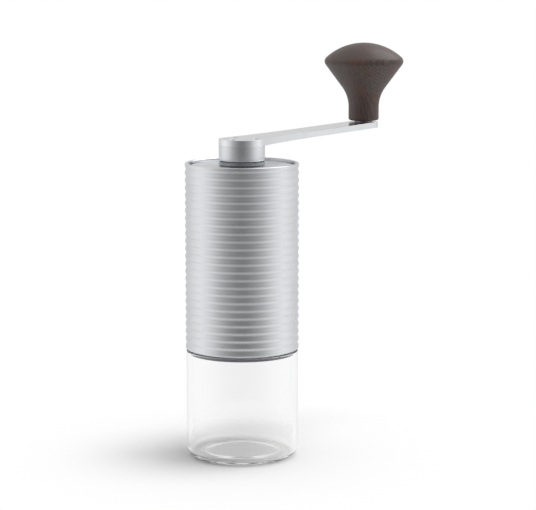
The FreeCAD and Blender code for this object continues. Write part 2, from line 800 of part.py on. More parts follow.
# Shaft: journals with a shoulder between the bearings, hex drive on top, flats and a clip below.
def make_shaft():
    groove = d.shaft_radius - d.clip_groove
    hex_bottom = hub_spigot_bottom - d.hex_below_hub
    turning = turned("shaft_turning", [
        (0, shaft_bottom),
        (d.shaft_radius, shaft_bottom),
        (d.shaft_radius, end_clip_bottom - d.running_gap),
        (groove, end_clip_bottom - d.running_gap),
        (groove, end_clip_top + d.running_gap),
        (d.shaft_radius, end_clip_top + d.running_gap),
        (d.shaft_radius, lower_bearing_top),
        (d.shoulder_radius, lower_bearing_top),
        (d.shoulder_radius, upper_bearing_bottom),
        (d.shaft_radius, upper_bearing_bottom),
        (d.shaft_radius, hex_bottom),
        (0, hex_bottom),
    ])
    head = hexagon("shaft_hex_head", d.shaft_hex, socket_top - d.hex_end_gap - hex_bottom, z=hex_bottom)
    flats_bottom = click_plate_bottom - d.dial_travel - d.seat_gap
    sides = []
    for i, turn in enumerate((90, 270)):
        side = bar(f"shaft_flat_{i}", d.shaft_radius * 2, d.shaft_radius * 4,
                   inner_burr_top + d.spring_wire - flats_bottom, flats_bottom, turn)
        shift = FreeCAD.Rotation(FreeCAD.Vector(0, 0, 1), turn).multVec(
            FreeCAD.Vector(number(d.shaft_flats) / 2, 0, 0))
        side.Placement.Base = side.Placement.Base + shift
        sides.append(side)
    piece(cut("main_shaft", joined("shaft_blank", [turning, head]), sides), "main_shaft")
    washer = tube_corners(d.shaft_radius + d.running_gap, d.spring_radius + d.spring_wire,
                          washer_bottom, lower_bearing_bottom)
    piece(turned("spring_washer", washer), "spring_washer")
    spring = doc.addObject("Part::Feature", "burr_spring")
    spring.Shape = coil(number(d.spring_wire), number(d.spring_radius),
                        number(inner_burr_top + d.running_gap), number(washer_bottom - d.running_gap),
                        BURR_SPRING_TURNS)
    piece(spring, "burr_spring")
    retaining_ring("shaft_end_clip", groove + d.running_gap, groove + d.clip_width, end_clip_bottom)


# Lid: plate in the body's recess, seal round its edge under a set-back lip, undercut bush for the hub.
def make_lid():
    radius = d.lid_seat_radius - d.lid_gap
    middle = lid_bottom + d.lid_thickness / 2
    wire = d.lid_seal_wire
    ring_radius = d.lid_seat_radius - d.running_gap - wire
    groove = ring_radius - wire - d.running_gap
    half = wire + d.running_gap
    bore = d.bush_spigot_radius + d.press_gap
    lip = radius - d.lid_lip_setback
    plate = turned("lid_plate", [
        (bore, lid_bottom),
        (radius, lid_bottom),
        (radius, middle - half),
        (groove, middle - half),
        (groove, middle + half),
        (lip, middle + half),
        (lip, lid_top - d.edge_chamfer),
        (lip - d.edge_chamfer, lid_top),
        (bore, lid_top),
    ])
    piece(plate, "lid_plate")
    seal = turned("lid_seal", [
        (ring_radius - wire, middle, wire, 1),
        (ring_radius, middle - wire, wire, 1),
        (ring_radius + wire, middle, wire, 1),
        (ring_radius, middle + wire, wire, 1),
    ])
    piece(seal, "lid_seal")
    hole = d.hub_spigot_radius + d.running_gap
    rim = d.hub_radius - d.seat_gap
    foot = rim - d.bush_foot_depth
    foot_top = lid_top + d.bush_foot_height
    bush = turned("hub_bush", [
        (hole, lid_bottom),
        (d.bush_spigot_radius, lid_bottom),
        (d.bush_spigot_radius, lid_top),
        (foot, lid_top),
        (foot, foot_top),
        (rim, foot_top),
        (rim, bush_top),
        (hole, bush_top),
    ])
    piece(bush, "hub_bush")


# Crank: hub with a hex socket, flat arm on top held by three screws.
def make_crank():
    groove = d.hub_spigot_radius - d.clip_groove
    turning = turned("hub_turning", [
        (0, hub_spigot_bottom),
        (d.hub_spigot_radius, hub_spigot_bottom),
        (d.hub_spigot_radius, hub_clip_bottom - d.running_gap),
        (groove, hub_clip_bottom - d.running_gap),
        (groove, hub_clip_top + d.running_gap),
        (d.hub_spigot_radius, hub_clip_top + d.running_gap),
        (d.hub_spigot_radius, hub_bottom),
        (d.hub_radius - d.hub_edge_round, hub_bottom, d.hub_edge_round, 1),
        (d.hub_radius, hub_bottom + d.hub_edge_round),
        (d.hub_radius, hub_top - d.hub_seam),
        (d.hub_radius - d.hub_seam, hub_top),
        (0, hub_top),
    ])
    socket = hexagon("hub_socket", d.shaft_hex + d.running_gap * 2, socket_top - hub_spigot_bottom,
                     z=hub_spigot_bottom)
    hole = d.screw_radius + d.press_gap
    screw_bottom = arm_top - d.screw_length
    spots = [around(d.screw_circle, angle) for angle in spread(SCREWS, 60)]
    tapped = [cylinder(f"hub_screw_hole_{i}", hole, d.screw_length, x=x, y=y, z=screw_bottom - d.seat_gap)
              for i, (x, y) in enumerate(spots)]
    piece(cut("crank_hub", turning, [socket] + tapped), "crank_hub")
    retaining_ring("hub_clip", groove + d.running_gap, groove + d.clip_width, hub_clip_bottom)
    make_arm(spots)
    make_arm_screws(spots, screw_bottom)


# Arm: round eye over the hub, neck with hollow sides, straight bar, round end on the knob's axis.
def make_arm(spots):
    half = d.arm_width / 2
    neck = d.arm_neck_round
    span = d.hub_radius + neck
    aside = half + neck
    reach = root(span * span - aside * aside)
    share = d.hub_radius / span
    body = doc.addObject("PartDesign::Body", "arm_plate")
    sketch = outline(body, "XY_Plane", [
        (reach, -half),
        (d.crank_radius, -half, half, 1),
        (d.crank_radius + half, 0, half, 1),
        (d.crank_radius, half),
        (reach, half, neck, -1),
        (reach * share, aside * share, d.hub_radius, 1),
        (-d.hub_radius, 0, d.hub_radius, 1),
        (reach * share, aside * -share, neck, -1),
    ], "arm_outline")
    pad = body.newObject("PartDesign::Pad", "arm_pad")
    pad.Profile = sketch
    bind(pad, Length=d.arm_thickness)
    doc.recompute()
    faces = pad.Shape.Faces
    by_height = sorted(range(len(faces)), key=lambda i: faces[i].CenterOfMass.z)
    easing = body.newObject("PartDesign::Chamfer", "arm_easing")
    easing.Base = (pad, [f"Face{i + 1}" for i in (by_height[0], by_height[-1])])
    bind(easing, Size=d.arm_chamfer)
    place(body, z=hub_top)
    tools = [cylinder("arm_spindle_hole", d.spindle_radius + d.press_gap, d.arm_thickness,
                      x=d.crank_radius, z=hub_top)]
    hole = d.screw_radius + d.press_gap * 2
    head = d.screw_head_radius + d.press_gap * 2
    for i, (x, y) in enumerate(spots):
        tools.append(cylinder(f"arm_screw_hole_{i}", hole, d.arm_thickness, x=x, y=y, z=hub_top))
        sink = doc.addObject("Part::Cone", f"arm_screw_sink_{i}")
        bind(sink, Radius1=hole, Radius2=head, Height=head - hole)
        tools.append(place(sink, x=x, y=y, z=arm_top - (head - hole)))
    piece(cut("crank_arm", body, tools), "crank_arm")


def make_arm_screws(spots, screw_bottom):
    screws = []
    slope = arm_top - (d.screw_head_radius - d.screw_radius)
    for i, (x, y) in enumerate(spots):
        blank = turned(f"arm_screw_blank_{i}", [
            (0, screw_bottom),
            (d.screw_radius, screw_bottom),
            (d.screw_radius, slope - d.press_gap),
            (d.screw_head_radius, arm_top - d.press_gap),
            (0, arm_top - d.press_gap),
        ])
        place(blank, x=x, y=y)
        socket = hexagon(f"arm_screw_socket_{i}", d.screw_socket, d.screw_socket_depth,
                         x=x, y=y, z=arm_top - d.screw_socket_depth)
        screws.append(cut(f"arm_screw_{i}", blank, [socket]))
    group("arm_screws", screws)


# Knob: cylinder foot, hollow flare, straight cone, round rim and a domed top, on a fixed spindle.
def make_knob():
    bush_inner = d.spindle_radius + d.running_gap
    bush_outer = bush_inner + d.knob_bush_wall
    bore = bush_outer + d.press_gap
    bush_end = knob_bottom + d.knob_bush_length
    clip_bottom = bush_end + d.seat_gap
    clip_top = clip_bottom + d.clip_thickness
    spindle_top = clip_top + d.spindle_end
    cavity_top = spindle_top + d.spindle_end
    rim_level = knob_top - d.knob_rim_below_top
    rim = d.knob_rim_round
    ring = d.knob_radius - rim
    dome = (ring * ring + d.knob_rim_below_top * d.knob_rim_below_top - rim * rim)
    dome = dome / ((d.knob_rim_below_top - rim) * 2)
    dome_centre = knob_top - dome
    lean = d.knob_cone_angle
    cone_end = (ring + rim * cosine(lean), rim_level - rim * sine(lean))
    flare = d.knob_flare_round
    flare_end_radius = d.knob_base_radius + flare * (1 - cosine(lean))
    cone_rise = (cone_end[0] - flare_end_radius) * cosine(lean) / sine(lean)
    flare_end = (flare_end_radius, cone_end[1] - cone_rise)
    foot_top = flare_end[1] - flare * sine(lean)
    share = rim / (dome - rim)
    dome_start = (ring + ring * share, rim_level + (rim_level - dome_centre) * share)
    knob = turned("knob", [
        (bore, knob_bottom),
        (d.knob_base_radius - d.knob_base_round, knob_bottom, d.knob_base_round, 1),
        (d.knob_base_radius, knob_bottom + d.knob_base_round),
        (d.knob_base_radius, foot_top, flare, -1),
        flare_end,
        (*cone_end, rim, 1),
        (*dome_start, dome, 1),
        (0, knob_top),
        (0, cavity_top),
        (bore, cavity_top),
    ])
    piece(place(knob, x=d.crank_radius), "knob")
    bush = turned("knob_bush", tube_corners(bush_inner, bush_outer, knob_bottom, bush_end))
    piece(place(bush, x=d.crank_radius), "knob_bush")
    groove = d.spindle_radius - d.clip_groove
    spindle = turned("knob_spindle", [
        (0, hub_top),
        (d.spindle_radius, hub_top),
        (d.spindle_radius, clip_bottom - d.running_gap),
        (groove, clip_bottom - d.running_gap),
        (groove, clip_top + d.running_gap),
        (d.spindle_radius, clip_top + d.running_gap),
        (d.spindle_radius, spindle_top),
        (0, spindle_top),
    ])
    piece(place(spindle, x=d.crank_radius), "knob_spindle")
    clip_radius = d.spindle_radius + d.knob_bush_wall / 2
    clip = retaining_ring("knob_clip", groove + d.running_gap, clip_radius, clip_bottom)
    place(clip, x=d.crank_radius)
    washer = turned("knob_washer", tube_corners(
        d.spindle_radius + d.running_gap, bush_outer + d.knob_washer_rim,
        arm_top, arm_top + d.knob_washer_thickness))
    piece(place(washer, x=d.crank_radius), "knob_washer")


make_jar()
make_body()
pin_sockets = make_outer_burr()
make_bracket("lower_bracket", lower_bracket_bottom, lower_bearing_bottom, lower_ledge, pin_sockets)
make_bracket("upper_bracket", upper_ledge, upper_ledge, upper_bearing_top)
make_bearing("lower_bearing", lower_bearing_bottom)
make_bearing("upper_bearing", upper_bearing_bottom)
make_inner_burr()
make_dial()
make_shaft()
make_lid()
make_crank()
make_knob()
doc.recompute()

failed = [thing.Label for thing in doc.Objects if {"Invalid", "Error"} & set(thing.State)]
if failed:
    raise RuntimeError(f"failed objects: {failed}")
for thing in pieces:
    if thing.Shape.isNull() or not thing.Shape.isValid() or not thing.Shape.Solids:
        raise RuntimeError(f"bad shape: {thing.Label}")

os.makedirs("parts", exist_ok=True)
for thing in pieces:
    thing.Shape.exportStep(os.path.join("parts", f"{thing.Label}.step"))
    print(f"{thing.Label}: {len(thing.Shape.Solids)} solids, {thing.Shape.Volume:.1f} mm3")
print(f"{len(pieces)} pieces, knob top {number(knob_top):.1f} mm")
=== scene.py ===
import json
import math
import bpy
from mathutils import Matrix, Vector


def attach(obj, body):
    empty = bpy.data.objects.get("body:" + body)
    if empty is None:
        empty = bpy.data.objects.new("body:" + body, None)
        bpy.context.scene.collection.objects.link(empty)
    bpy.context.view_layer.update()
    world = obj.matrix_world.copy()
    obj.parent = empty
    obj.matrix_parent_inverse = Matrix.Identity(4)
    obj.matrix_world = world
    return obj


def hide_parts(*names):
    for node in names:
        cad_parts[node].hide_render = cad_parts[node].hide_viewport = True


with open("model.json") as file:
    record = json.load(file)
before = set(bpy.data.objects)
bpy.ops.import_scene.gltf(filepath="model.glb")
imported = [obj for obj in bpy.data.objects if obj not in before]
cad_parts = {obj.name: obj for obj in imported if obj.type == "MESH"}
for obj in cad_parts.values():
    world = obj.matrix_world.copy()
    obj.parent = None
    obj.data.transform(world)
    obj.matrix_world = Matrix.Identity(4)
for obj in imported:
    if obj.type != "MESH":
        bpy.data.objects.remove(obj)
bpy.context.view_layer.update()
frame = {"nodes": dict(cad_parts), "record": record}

mm = 0.001
armTop = 0.15815              # level of the arm's upper face
socketShadeDrop = 0.15 * mm        # painted shade fills the screws' sockets from this far below the arm's top
bushFoot = 0.1458             # level of the undercut at the foot of the hub's bush; below it the bush is painted dark as shade
scene = bpy.context.scene
scene.view_settings.view_transform = "Standard"
glassBounces = 48             # light crosses the thick foot of the jar many times
scene.cycles.max_bounces = glassBounces
scene.cycles.transmission_bounces = glassBounces
scene.cycles.glossy_bounces = glassBounces
print("frame loaded:", len(frame["nodes"]), "nodes")

# camera, worked back from the ellipses of the rim, the seam and the base
photoView = {
    "armBearing": 57.4,   # degrees from the picture's right to the arm, going away
    "distance": 1006.0,   # mm on the level, from the grinder's axis
    "aside": 12.8,        # mm to the right of that axis
    "height": 251.7,      # mm above the floor
    "pitch": 8.537,       # degrees down
    "lens": 138.53,
    "sensor": 36,
}
bearing = math.radians(photoView["armBearing"])
pitch = math.radians(photoView["pitch"])
away = Vector((math.sin(bearing), math.cos(bearing), 0))
right = Vector((math.cos(bearing), -math.sin(bearing), 0))
up = Vector((0, 0, 1))


def studioSpot(toRight, toBack, height):
    return right * toRight + away * toBack + up * height


bpy.ops.object.select_all(action="DESELECT")
bpy.ops.object.camera_add()
camera = bpy.context.object
camera.name = "photoCamera"
camera.data.sensor_width = photoView["sensor"]
camera.data.lens = photoView["lens"]
camera.location = studioSpot(photoView["aside"], -photoView["distance"], photoView["height"]) * mm
sight = away * math.cos(pitch) - up * math.sin(pitch)
camera.rotation_mode = "QUATERNION"
camera.rotation_quaternion = sight.to_track_quat("-Z", "Y")
scene.camera = camera
print("camera set")


def colour(hexCode):
    parts = [int(hexCode[i:i + 2], 16) / 255 for i in (1, 3, 5)]
    return [c / 12.92 if c <= 0.04045 else ((c + 0.055) / 1.055) ** 2.4 for c in parts] + [1]


# one node with its settings and its links; a setting that is no property of the node is one of its sockets
def addNode(tree, kind, settings={}, links={}):
    made = tree.nodes.new("ShaderNode" + kind)
    for key, value in settings.items():
        if isinstance(key, str) and hasattr(made, key):
            setattr(made, key, value)
        else:
            made.inputs[key].default_value = value
    for key, source in links.items():
        tree.links.new(source, made.inputs[key])
    return made


def setStops(ramp, stops):
    bar = ramp.color_ramp.elements
    while len(bar) < len(stops):
        bar.new(0.5)
    for mark, (spot, shade) in zip(bar, stops):
        mark.position = spot
        mark.color = shade if len(shade) == 4 else (*shade, 1)


def grey(level):
    return (level, level, level, 1)


def softStep(tree, source, begin, end, first=0.0, last=1.0):
    return addNode(tree, "MapRange", {"interpolation_type": "SMOOTHSTEP", "From Min": begin, "From Max": end,
                                      "To Min": first, "To Max": last}, {"Value": source})


# studio: a white floor that keeps the shadow and goes over to plain white far out, a room and one lamp;
# lengths in metres
studio = {
    "floorSize": 8.0,
    "floorPaint": 0.80,
    "floorGlow": 0.09,
    "floorDrop": 0.0001,        # keeps the paper clear of the glass that rests on it
    "fadeFrom": 0.03,
    "fadeTo": 0.13,
    "mirrorFull": 0.066,        # metal sees the lit paper up to here
    "mirrorTrace": 0.080,       # a trace of it from here
    "mirrorFade": 0.21,         # to here
    "mirrorEnd": 0.36,          # and only the room from here on
    "trace": 0.22,
    "ambient": 0.62,            # what the room gives to matt surfaces
    "front": 0.212,             # dark room behind the camera, seen in the metal
    "side": 0.99,               # white boards left and right
    "back": 0.68,               # lit backdrop
    "ceiling": 0.72,
    "ceilingFrom": 0.75,        # sine of the height at which the ceiling starts
    "ceilingTo": 0.95,
    "softbox": 2.6,             # lamp panel above and behind on the right, as gloss shows it
    "softboxSpot": (0.50, 0.43, 0.75),
    "softboxFrom": 0.90,        # cosines of the panel's soft edge
    "softboxTo": 0.95,
    "glassFrom": 0.55,          # glass shows plain white from the side
    "glassTo": 0.35,            # to the back
    "keySpot": (0.24, 0.0, 1.20),
    "keySize": 0.45,
    "keyWatts": 8.0,
    "keyAim": 0.08,
}
# the room's walls from the back to the front, as metal sees them
walls = [
    (0.00, studio["back"]),
    (0.05, studio["back"]),
    (0.15, studio["side"] * 0.74),
    (0.30, studio["side"] * 0.88),
    (0.46, studio["side"]),
    (0.70, studio["side"] * 0.78),
    (0.87, studio["side"] * 0.44),
    (0.96, studio["front"] * 1.4),
    (1.00, studio["front"]),
]


def makeFloor():
    bpy.ops.object.select_all(action="DESELECT")
    bpy.ops.mesh.primitive_plane_add(size=studio["floorSize"], location=(0, 0, -studio["floorDrop"]))
    floor = bpy.context.object
    floor.name = "studioFloor"
    paper = bpy.data.materials.new("whitePaper")
    paper.use_nodes = True
    tree = paper.node_tree
    tree.nodes.clear()
    path = addNode(tree, "LightPath")
    either = addNode(tree, "Math", {"operation": "MAXIMUM"},
                     {0: path.outputs["Is Camera Ray"], 1: path.outputs["Is Transmission Ray"]})
    direct = either.outputs[0]
    matt = addNode(tree, "BsdfDiffuse", {"Color": grey(studio["floorPaint"])})
    level = addNode(tree, "Math", {"operation": "MULTIPLY", 1: studio["floorGlow"]}, {0: direct})
    glow = addNode(tree, "Emission", {}, {"Strength": level.outputs[0]})
    near = addNode(tree, "AddShader", {}, {0: matt.outputs[0], 1: glow.outputs[0]})
    far = addNode(tree, "Emission")
    place = addNode(tree, "TexCoord")
    reach = addNode(tree, "VectorMath", {"operation": "LENGTH"}, {0: place.outputs["Object"]})
    fade = softStep(tree, reach.outputs["Value"], studio["fadeFrom"], studio["fadeTo"])
    white = addNode(tree, "Math", {"operation": "MULTIPLY"}, {0: fade.outputs[0], 1: direct})
    whole = addNode(tree, "MixShader", {}, {0: white.outputs[0], 1: near.outputs[0], 2: far.outputs[0]})
    edge = addNode(tree, "ValToRGB", {}, {0: reach.outputs["Value"]})
    setStops(edge, [
        (studio["mirrorFull"], grey(0)),
        (studio["mirrorTrace"], grey(1 - studio["trace"])),
        (studio["mirrorFade"], grey(1 - studio["trace"])),
        (studio["mirrorEnd"], grey(1)),
    ])
    passed = addNode(tree, "Math", {"operation": "MULTIPLY"},
                     {0: edge.outputs[0], 1: path.outputs["Is Glossy Ray"]})
    gone = addNode(tree, "BsdfTransparent")
    sheet = addNode(tree, "MixShader", {}, {0: passed.outputs[0], 1: whole.outputs[0], 2: gone.outputs[0]})
    addNode(tree, "OutputMaterial", {}, {"Surface": sheet.outputs[0]})
    floor.data.materials.append(paper)


# room: white to the eye and through glass; in metal a dark front, white sides and a paler back
def makeRoom():
    room = bpy.data.worlds.new("studioRoom")
    scene.world = room
    room.use_nodes = True
    room.cycles.sampling_method = "NONE"
    tree = room.node_tree
    tree.nodes.clear()
    place = addNode(tree, "TexCoord")
    level = addNode(tree, "VectorMath", {"operation": "MULTIPLY", 1: (1, 1, 0)},
                    {0: place.outputs["Generated"]})
    compass = addNode(tree, "VectorMath", {"operation": "NORMALIZE"}, {0: level.outputs[0]})
    toFront = addNode(tree, "VectorMath", {"operation": "DOT_PRODUCT", 1: tuple(-away)},
                      {0: compass.outputs[0]})
    share = addNode(tree, "MapRange", {"From Min": -1, "From Max": 1}, {"Value": toFront.outputs["Value"]})
    around = addNode(tree, "ValToRGB", {}, {0: share.outputs[0]})
    setStops(around, [(spot, grey(tone)) for spot, tone in walls])
    height = addNode(tree, "SeparateXYZ", {}, {0: place.outputs["Generated"]})
    overhead = softStep(tree, height.outputs["Z"], studio["ceilingFrom"], studio["ceilingTo"])
    roofed = addNode(tree, "Mix", {"data_type": "RGBA", 7: grey(studio["ceiling"])},
                     {0: overhead.outputs[0], 6: around.outputs[0]})
    panel = studioSpot(*studio["softboxSpot"]).normalized()
    toPanel = addNode(tree, "VectorMath", {"operation": "DOT_PRODUCT", 1: tuple(panel)},
                      {0: place.outputs["Generated"]})
    onPanel = softStep(tree, toPanel.outputs["Value"], studio["softboxFrom"], studio["softboxTo"])
    mirrored = addNode(tree, "Mix", {"data_type": "RGBA", 7: grey(studio["softbox"])},
                       {0: onPanel.outputs[0], 6: roofed.outputs[2]})
    path = addNode(tree, "LightPath")
    shiny = addNode(tree, "Math", {"operation": "MAXIMUM"},
                    {0: path.outputs["Is Glossy Ray"], 1: path.outputs["Is Transmission Ray"]})
    lit = addNode(tree, "Mix", {"data_type": "RGBA", 6: grey(studio["ambient"])},
                  {0: shiny.outputs[0], 7: mirrored.outputs[2]})
    behind = addNode(tree, "MapRange", {"From Min": studio["glassFrom"], "From Max": studio["glassTo"]},
                     {"Value": share.outputs[0]})
    through = addNode(tree, "Math", {"operation": "MULTIPLY"},
                      {0: behind.outputs[0], 1: path.outputs["Is Transmission Ray"]})
    direct = addNode(tree, "Math", {"operation": "MAXIMUM"},
                     {0: through.outputs[0], 1: path.outputs["Is Camera Ray"]})
    shown = addNode(tree, "Mix", {"data_type": "RGBA", 7: grey(1)},
                    {0: direct.outputs[0], 6: lit.outputs[2]})
    sky = addNode(tree, "Background", {}, {"Color": shown.outputs[2]})
    addNode(tree, "OutputWorld", {}, {"Surface": sky.outputs[0]})


def makeLamp(name, spot, aim, size, watts):
    bpy.ops.object.light_add(type="AREA", location=spot)
    lamp = bpy.context.object
    lamp.name = name
    lamp.data.shape = "SQUARE"
    lamp.data.size = size
    lamp.data.energy = watts
    lamp.rotation_mode = "QUATERNION"
    lamp.rotation_quaternion = (aim - spot).to_track_quat("-Z", "Y")
    lamp.visible_glossy = False
    lamp.visible_transmission = False
    lamp.visible_camera = False


makeFloor()
makeRoom()
makeLamp("keySoftbox", studioSpot(*studio["keySpot"]), up * studio["keyAim"], studio["keySize"],
         studio["keyWatts"])
print("studio set")


# a finish starts as a shader with the piece's own coordinates in millimetres
def startFinish(name):
    finish = bpy.data.materials.new(name)
    finish.use_nodes = True
    tree = finish.node_tree
    tree.nodes.clear()
    shader = addNode(tree, "BsdfPrincipled")
    addNode(tree, "OutputMaterial", {}, {"Surface": shader.outputs[0]})
    place = addNode(tree, "TexCoord")
    inMm = addNode(tree, "Mapping", {"Scale": (1000, 1000, 1000)}, {"Vector": place.outputs["Object"]})
    return finish, tree, shader, inMm.outputs[0]


metal = {
    "grainMm": 0.3,       # the real grit is finer
    "cloudMm": 14,
    "cloudFrom": 0.3,
    "cloudTo": 0.7,
    "shade": 0.95,        # handled patches are this much darker
    "relief": 0.0001,
}


# turned metal: rings left by the tool on flat faces and bands on round ones, under a soft blasted grain
def turnedMetal(name, hexCode, gloss, ringMm, ringDepth, grainDepth, smear=0.05):
    finish, tree, shader, inMm = startFinish(name)
    parts = addNode(tree, "SeparateXYZ", {}, {0: inMm})
    flat = addNode(tree, "CombineXYZ", {}, {0: parts.outputs[0], 1: parts.outputs[1]})
    radius = addNode(tree, "VectorMath", {"operation": "LENGTH"}, {0: flat.outputs[0]})
    lathe = addNode(tree, "CombineXYZ", {}, {0: radius.outputs["Value"], 1: parts.outputs[2]})
    rings = addNode(tree, "TexNoise", {"noise_dimensions": "2D", "Scale": 1 / ringMm, "Detail": 2.0},
                    {"Vector": lathe.outputs[0]})
    grain = addNode(tree, "TexNoise", {"Scale": 1 / metal["grainMm"], "Detail": 2.0}, {"Vector": inMm})
    cloud = addNode(tree, "TexNoise", {"Scale": 1 / metal["cloudMm"], "Detail": 3.0}, {"Vector": inMm})
    tint = addNode(tree, "ValToRGB", {}, {0: cloud.outputs[0]})
    pale = colour(hexCode)
    handled = [c * metal["shade"] for c in pale[:3]]
    setStops(tint, [(metal["cloudFrom"], handled), (metal["cloudTo"], pale)])
    dull = addNode(tree, "MapRange", {"From Min": metal["cloudFrom"], "From Max": metal["cloudTo"],
                                      "To Min": gloss - smear, "To Max": gloss + smear},
                   {"Value": cloud.outputs[0]})
    first = addNode(tree, "Bump", {"Strength": ringDepth, "Distance": metal["relief"]},
                    {"Height": rings.outputs[0]})
    both = addNode(tree, "Bump", {"Strength": grainDepth, "Distance": metal["relief"]},
                   {"Height": grain.outputs[0], "Normal": first.outputs[0]})
    shader.inputs["Metallic"].default_value = 1
    tree.links.new(tint.outputs[0], shader.inputs["Base Color"])
    tree.links.new(dull.outputs[0], shader.inputs["Roughness"])
    tree.links.new(both.outputs[0], shader.inputs["Normal"])
    return finish


# metal with painted shade: below a level its colour turns to a dark one, standing in for the shade in its
# recesses
def paintShadeBelow(finish, level, hexCode):
    tree = finish.node_tree
    shader = tree.nodes["Principled BSDF"]
    bright = shader.inputs["Base Color"].links[0].from_socket
    place = addNode(tree, "TexCoord")
    height = addNode(tree, "SeparateXYZ", {}, {0: place.outputs["Object"]})
    # painted shade: below the level the dark colour replaces the metal's own
    below = addNode(tree, "Math", {"operation": "LESS_THAN", 1: level}, {0: height.outputs["Z"]})
    tone = addNode(tree, "Mix", {"data_type": "RGBA", 7: colour(hexCode)}, {0: below.outputs[0], 6: bright})
    tree.links.new(tone.outputs[2], shader.inputs["Base Color"])
    return finish


glassSkin = {
    "tint": "#FCFCFC",
    "index": 1.5,
    "waveMm": 18,
    "wave": 0.005,
    "relief": 0.001,
    "shadow": 0.93,       # share of the lamps' light that passes
}


# blown soda glass: clear and colourless, with a little waviness from the mould; lamps shine through it
def blownGlass(name):
    finish, tree, shader, inMm = startFinish(name)
    wave = addNode(tree, "TexNoise", {"Scale": 1 / glassSkin["waveMm"], "Detail": 1.0}, {"Vector": inMm})
    ripple = addNode(tree, "Bump", {"Strength": glassSkin["wave"], "Distance": glassSkin["relief"]},
                     {"Height": wave.outputs[0]})
    shader.inputs["Base Color"].default_value = colour(glassSkin["tint"])
    shader.inputs["Roughness"].default_value = 0.0
    shader.inputs["IOR"].default_value = glassSkin["index"]
    shader.inputs["Transmission Weight"].default_value = 1
    tree.links.new(ripple.outputs[0], shader.inputs["Normal"])
    path = addNode(tree, "LightPath")
    clear = addNode(tree, "BsdfTransparent", {"Color": grey(glassSkin["shadow"])})
    both = addNode(tree, "MixShader", {}, {0: path.outputs["Is Shadow Ray"], 1: shader.outputs[0],
                                           2: clear.outputs[0]})
    out = next(n for n in tree.nodes if n.type == "OUTPUT_MATERIAL")
    tree.links.new(both.outputs[0], out.inputs["Surface"])
    return finish


mould = {
    "pebbleMm": 0.5,
    "gloss": 0.45,
    "dull": 0.65,
    "depth": 0.15,
    "relief": 0.0001,
    "index": 1.45,
}


# moulded rubber and nylon: matt, with the faint pebble of the mould
def mouldedSkin(name, hexCode, see=0.0):
    finish, tree, shader, inMm = startFinish(name)
    pebble = addNode(tree, "TexNoise", {"Scale": 1 / mould["pebbleMm"], "Detail": 2.0}, {"Vector": inMm})
    skin = addNode(tree, "Bump", {"Strength": mould["depth"], "Distance": mould["relief"]},
                   {"Height": pebble.outputs[0]})
    dull = addNode(tree, "MapRange", {"To Min": mould["gloss"], "To Max": mould["dull"]},
                   {"Value": pebble.outputs[0]})
    shader.inputs["Base Color"].default_value = colour(hexCode)
    shader.inputs["IOR"].default_value = mould["index"]
    shader.inputs["Transmission Weight"].default_value = see
    tree.links.new(dull.outputs[0], shader.inputs["Roughness"])
    tree.links.new(skin.outputs[0], shader.inputs["Normal"])
    return finish


# dark stained hardwood, turned along its grain and oiled: growth rings about a pith beside the knob,
# fine fibres, open pores, and a thin film of oil that shows the soft lamp
wood = {
    "pith": (5.8, 44.6),      # mm from the knob's axis
    "lean": (0.10, -0.06, 0),
    "ringMm": 1.4,
    "ringShare": 0.18,
    "fibreMm": 1.1,
    "poreMm": 0.45,
    "patchMm": 9,
    "along": 0.15,            # under 1, so fibres and pores are drawn out along the grain
    "endGrainAndShade": 0.72,         # upward faces are darker: partly end grain taking more stain, partly painted shade that tones down the lamp from above
    "topShadeFrom": 0.35,          # upward share of the normal at which it starts
    "topShadeTo": 0.85,
    "stain": [(0.28, "#362B27"), (0.50, "#473A35"), (0.74, "#594B45")],
    "warm": "#5E3222",
    "warmFrom": 0.42,
    "warmTo": 0.68,
    "patchShift": (31, 7, 12),
    "warmShare": 0.42,
    "poreFrom": 0.32,
    "poreTo": 0.42,
    "poreShade": 0.62,
    "poreDepth": 0.2,
    "relief": 0.0002,
    "gloss": 0.45,
    "dull": 0.58,
    "oil": 0.18,
    "oilRough": 0.22,
    "centre": (119, 0, 180),  # middle of the knob
}


wavePhase = 20    # the ring texture's phase grows by this for each unit of length


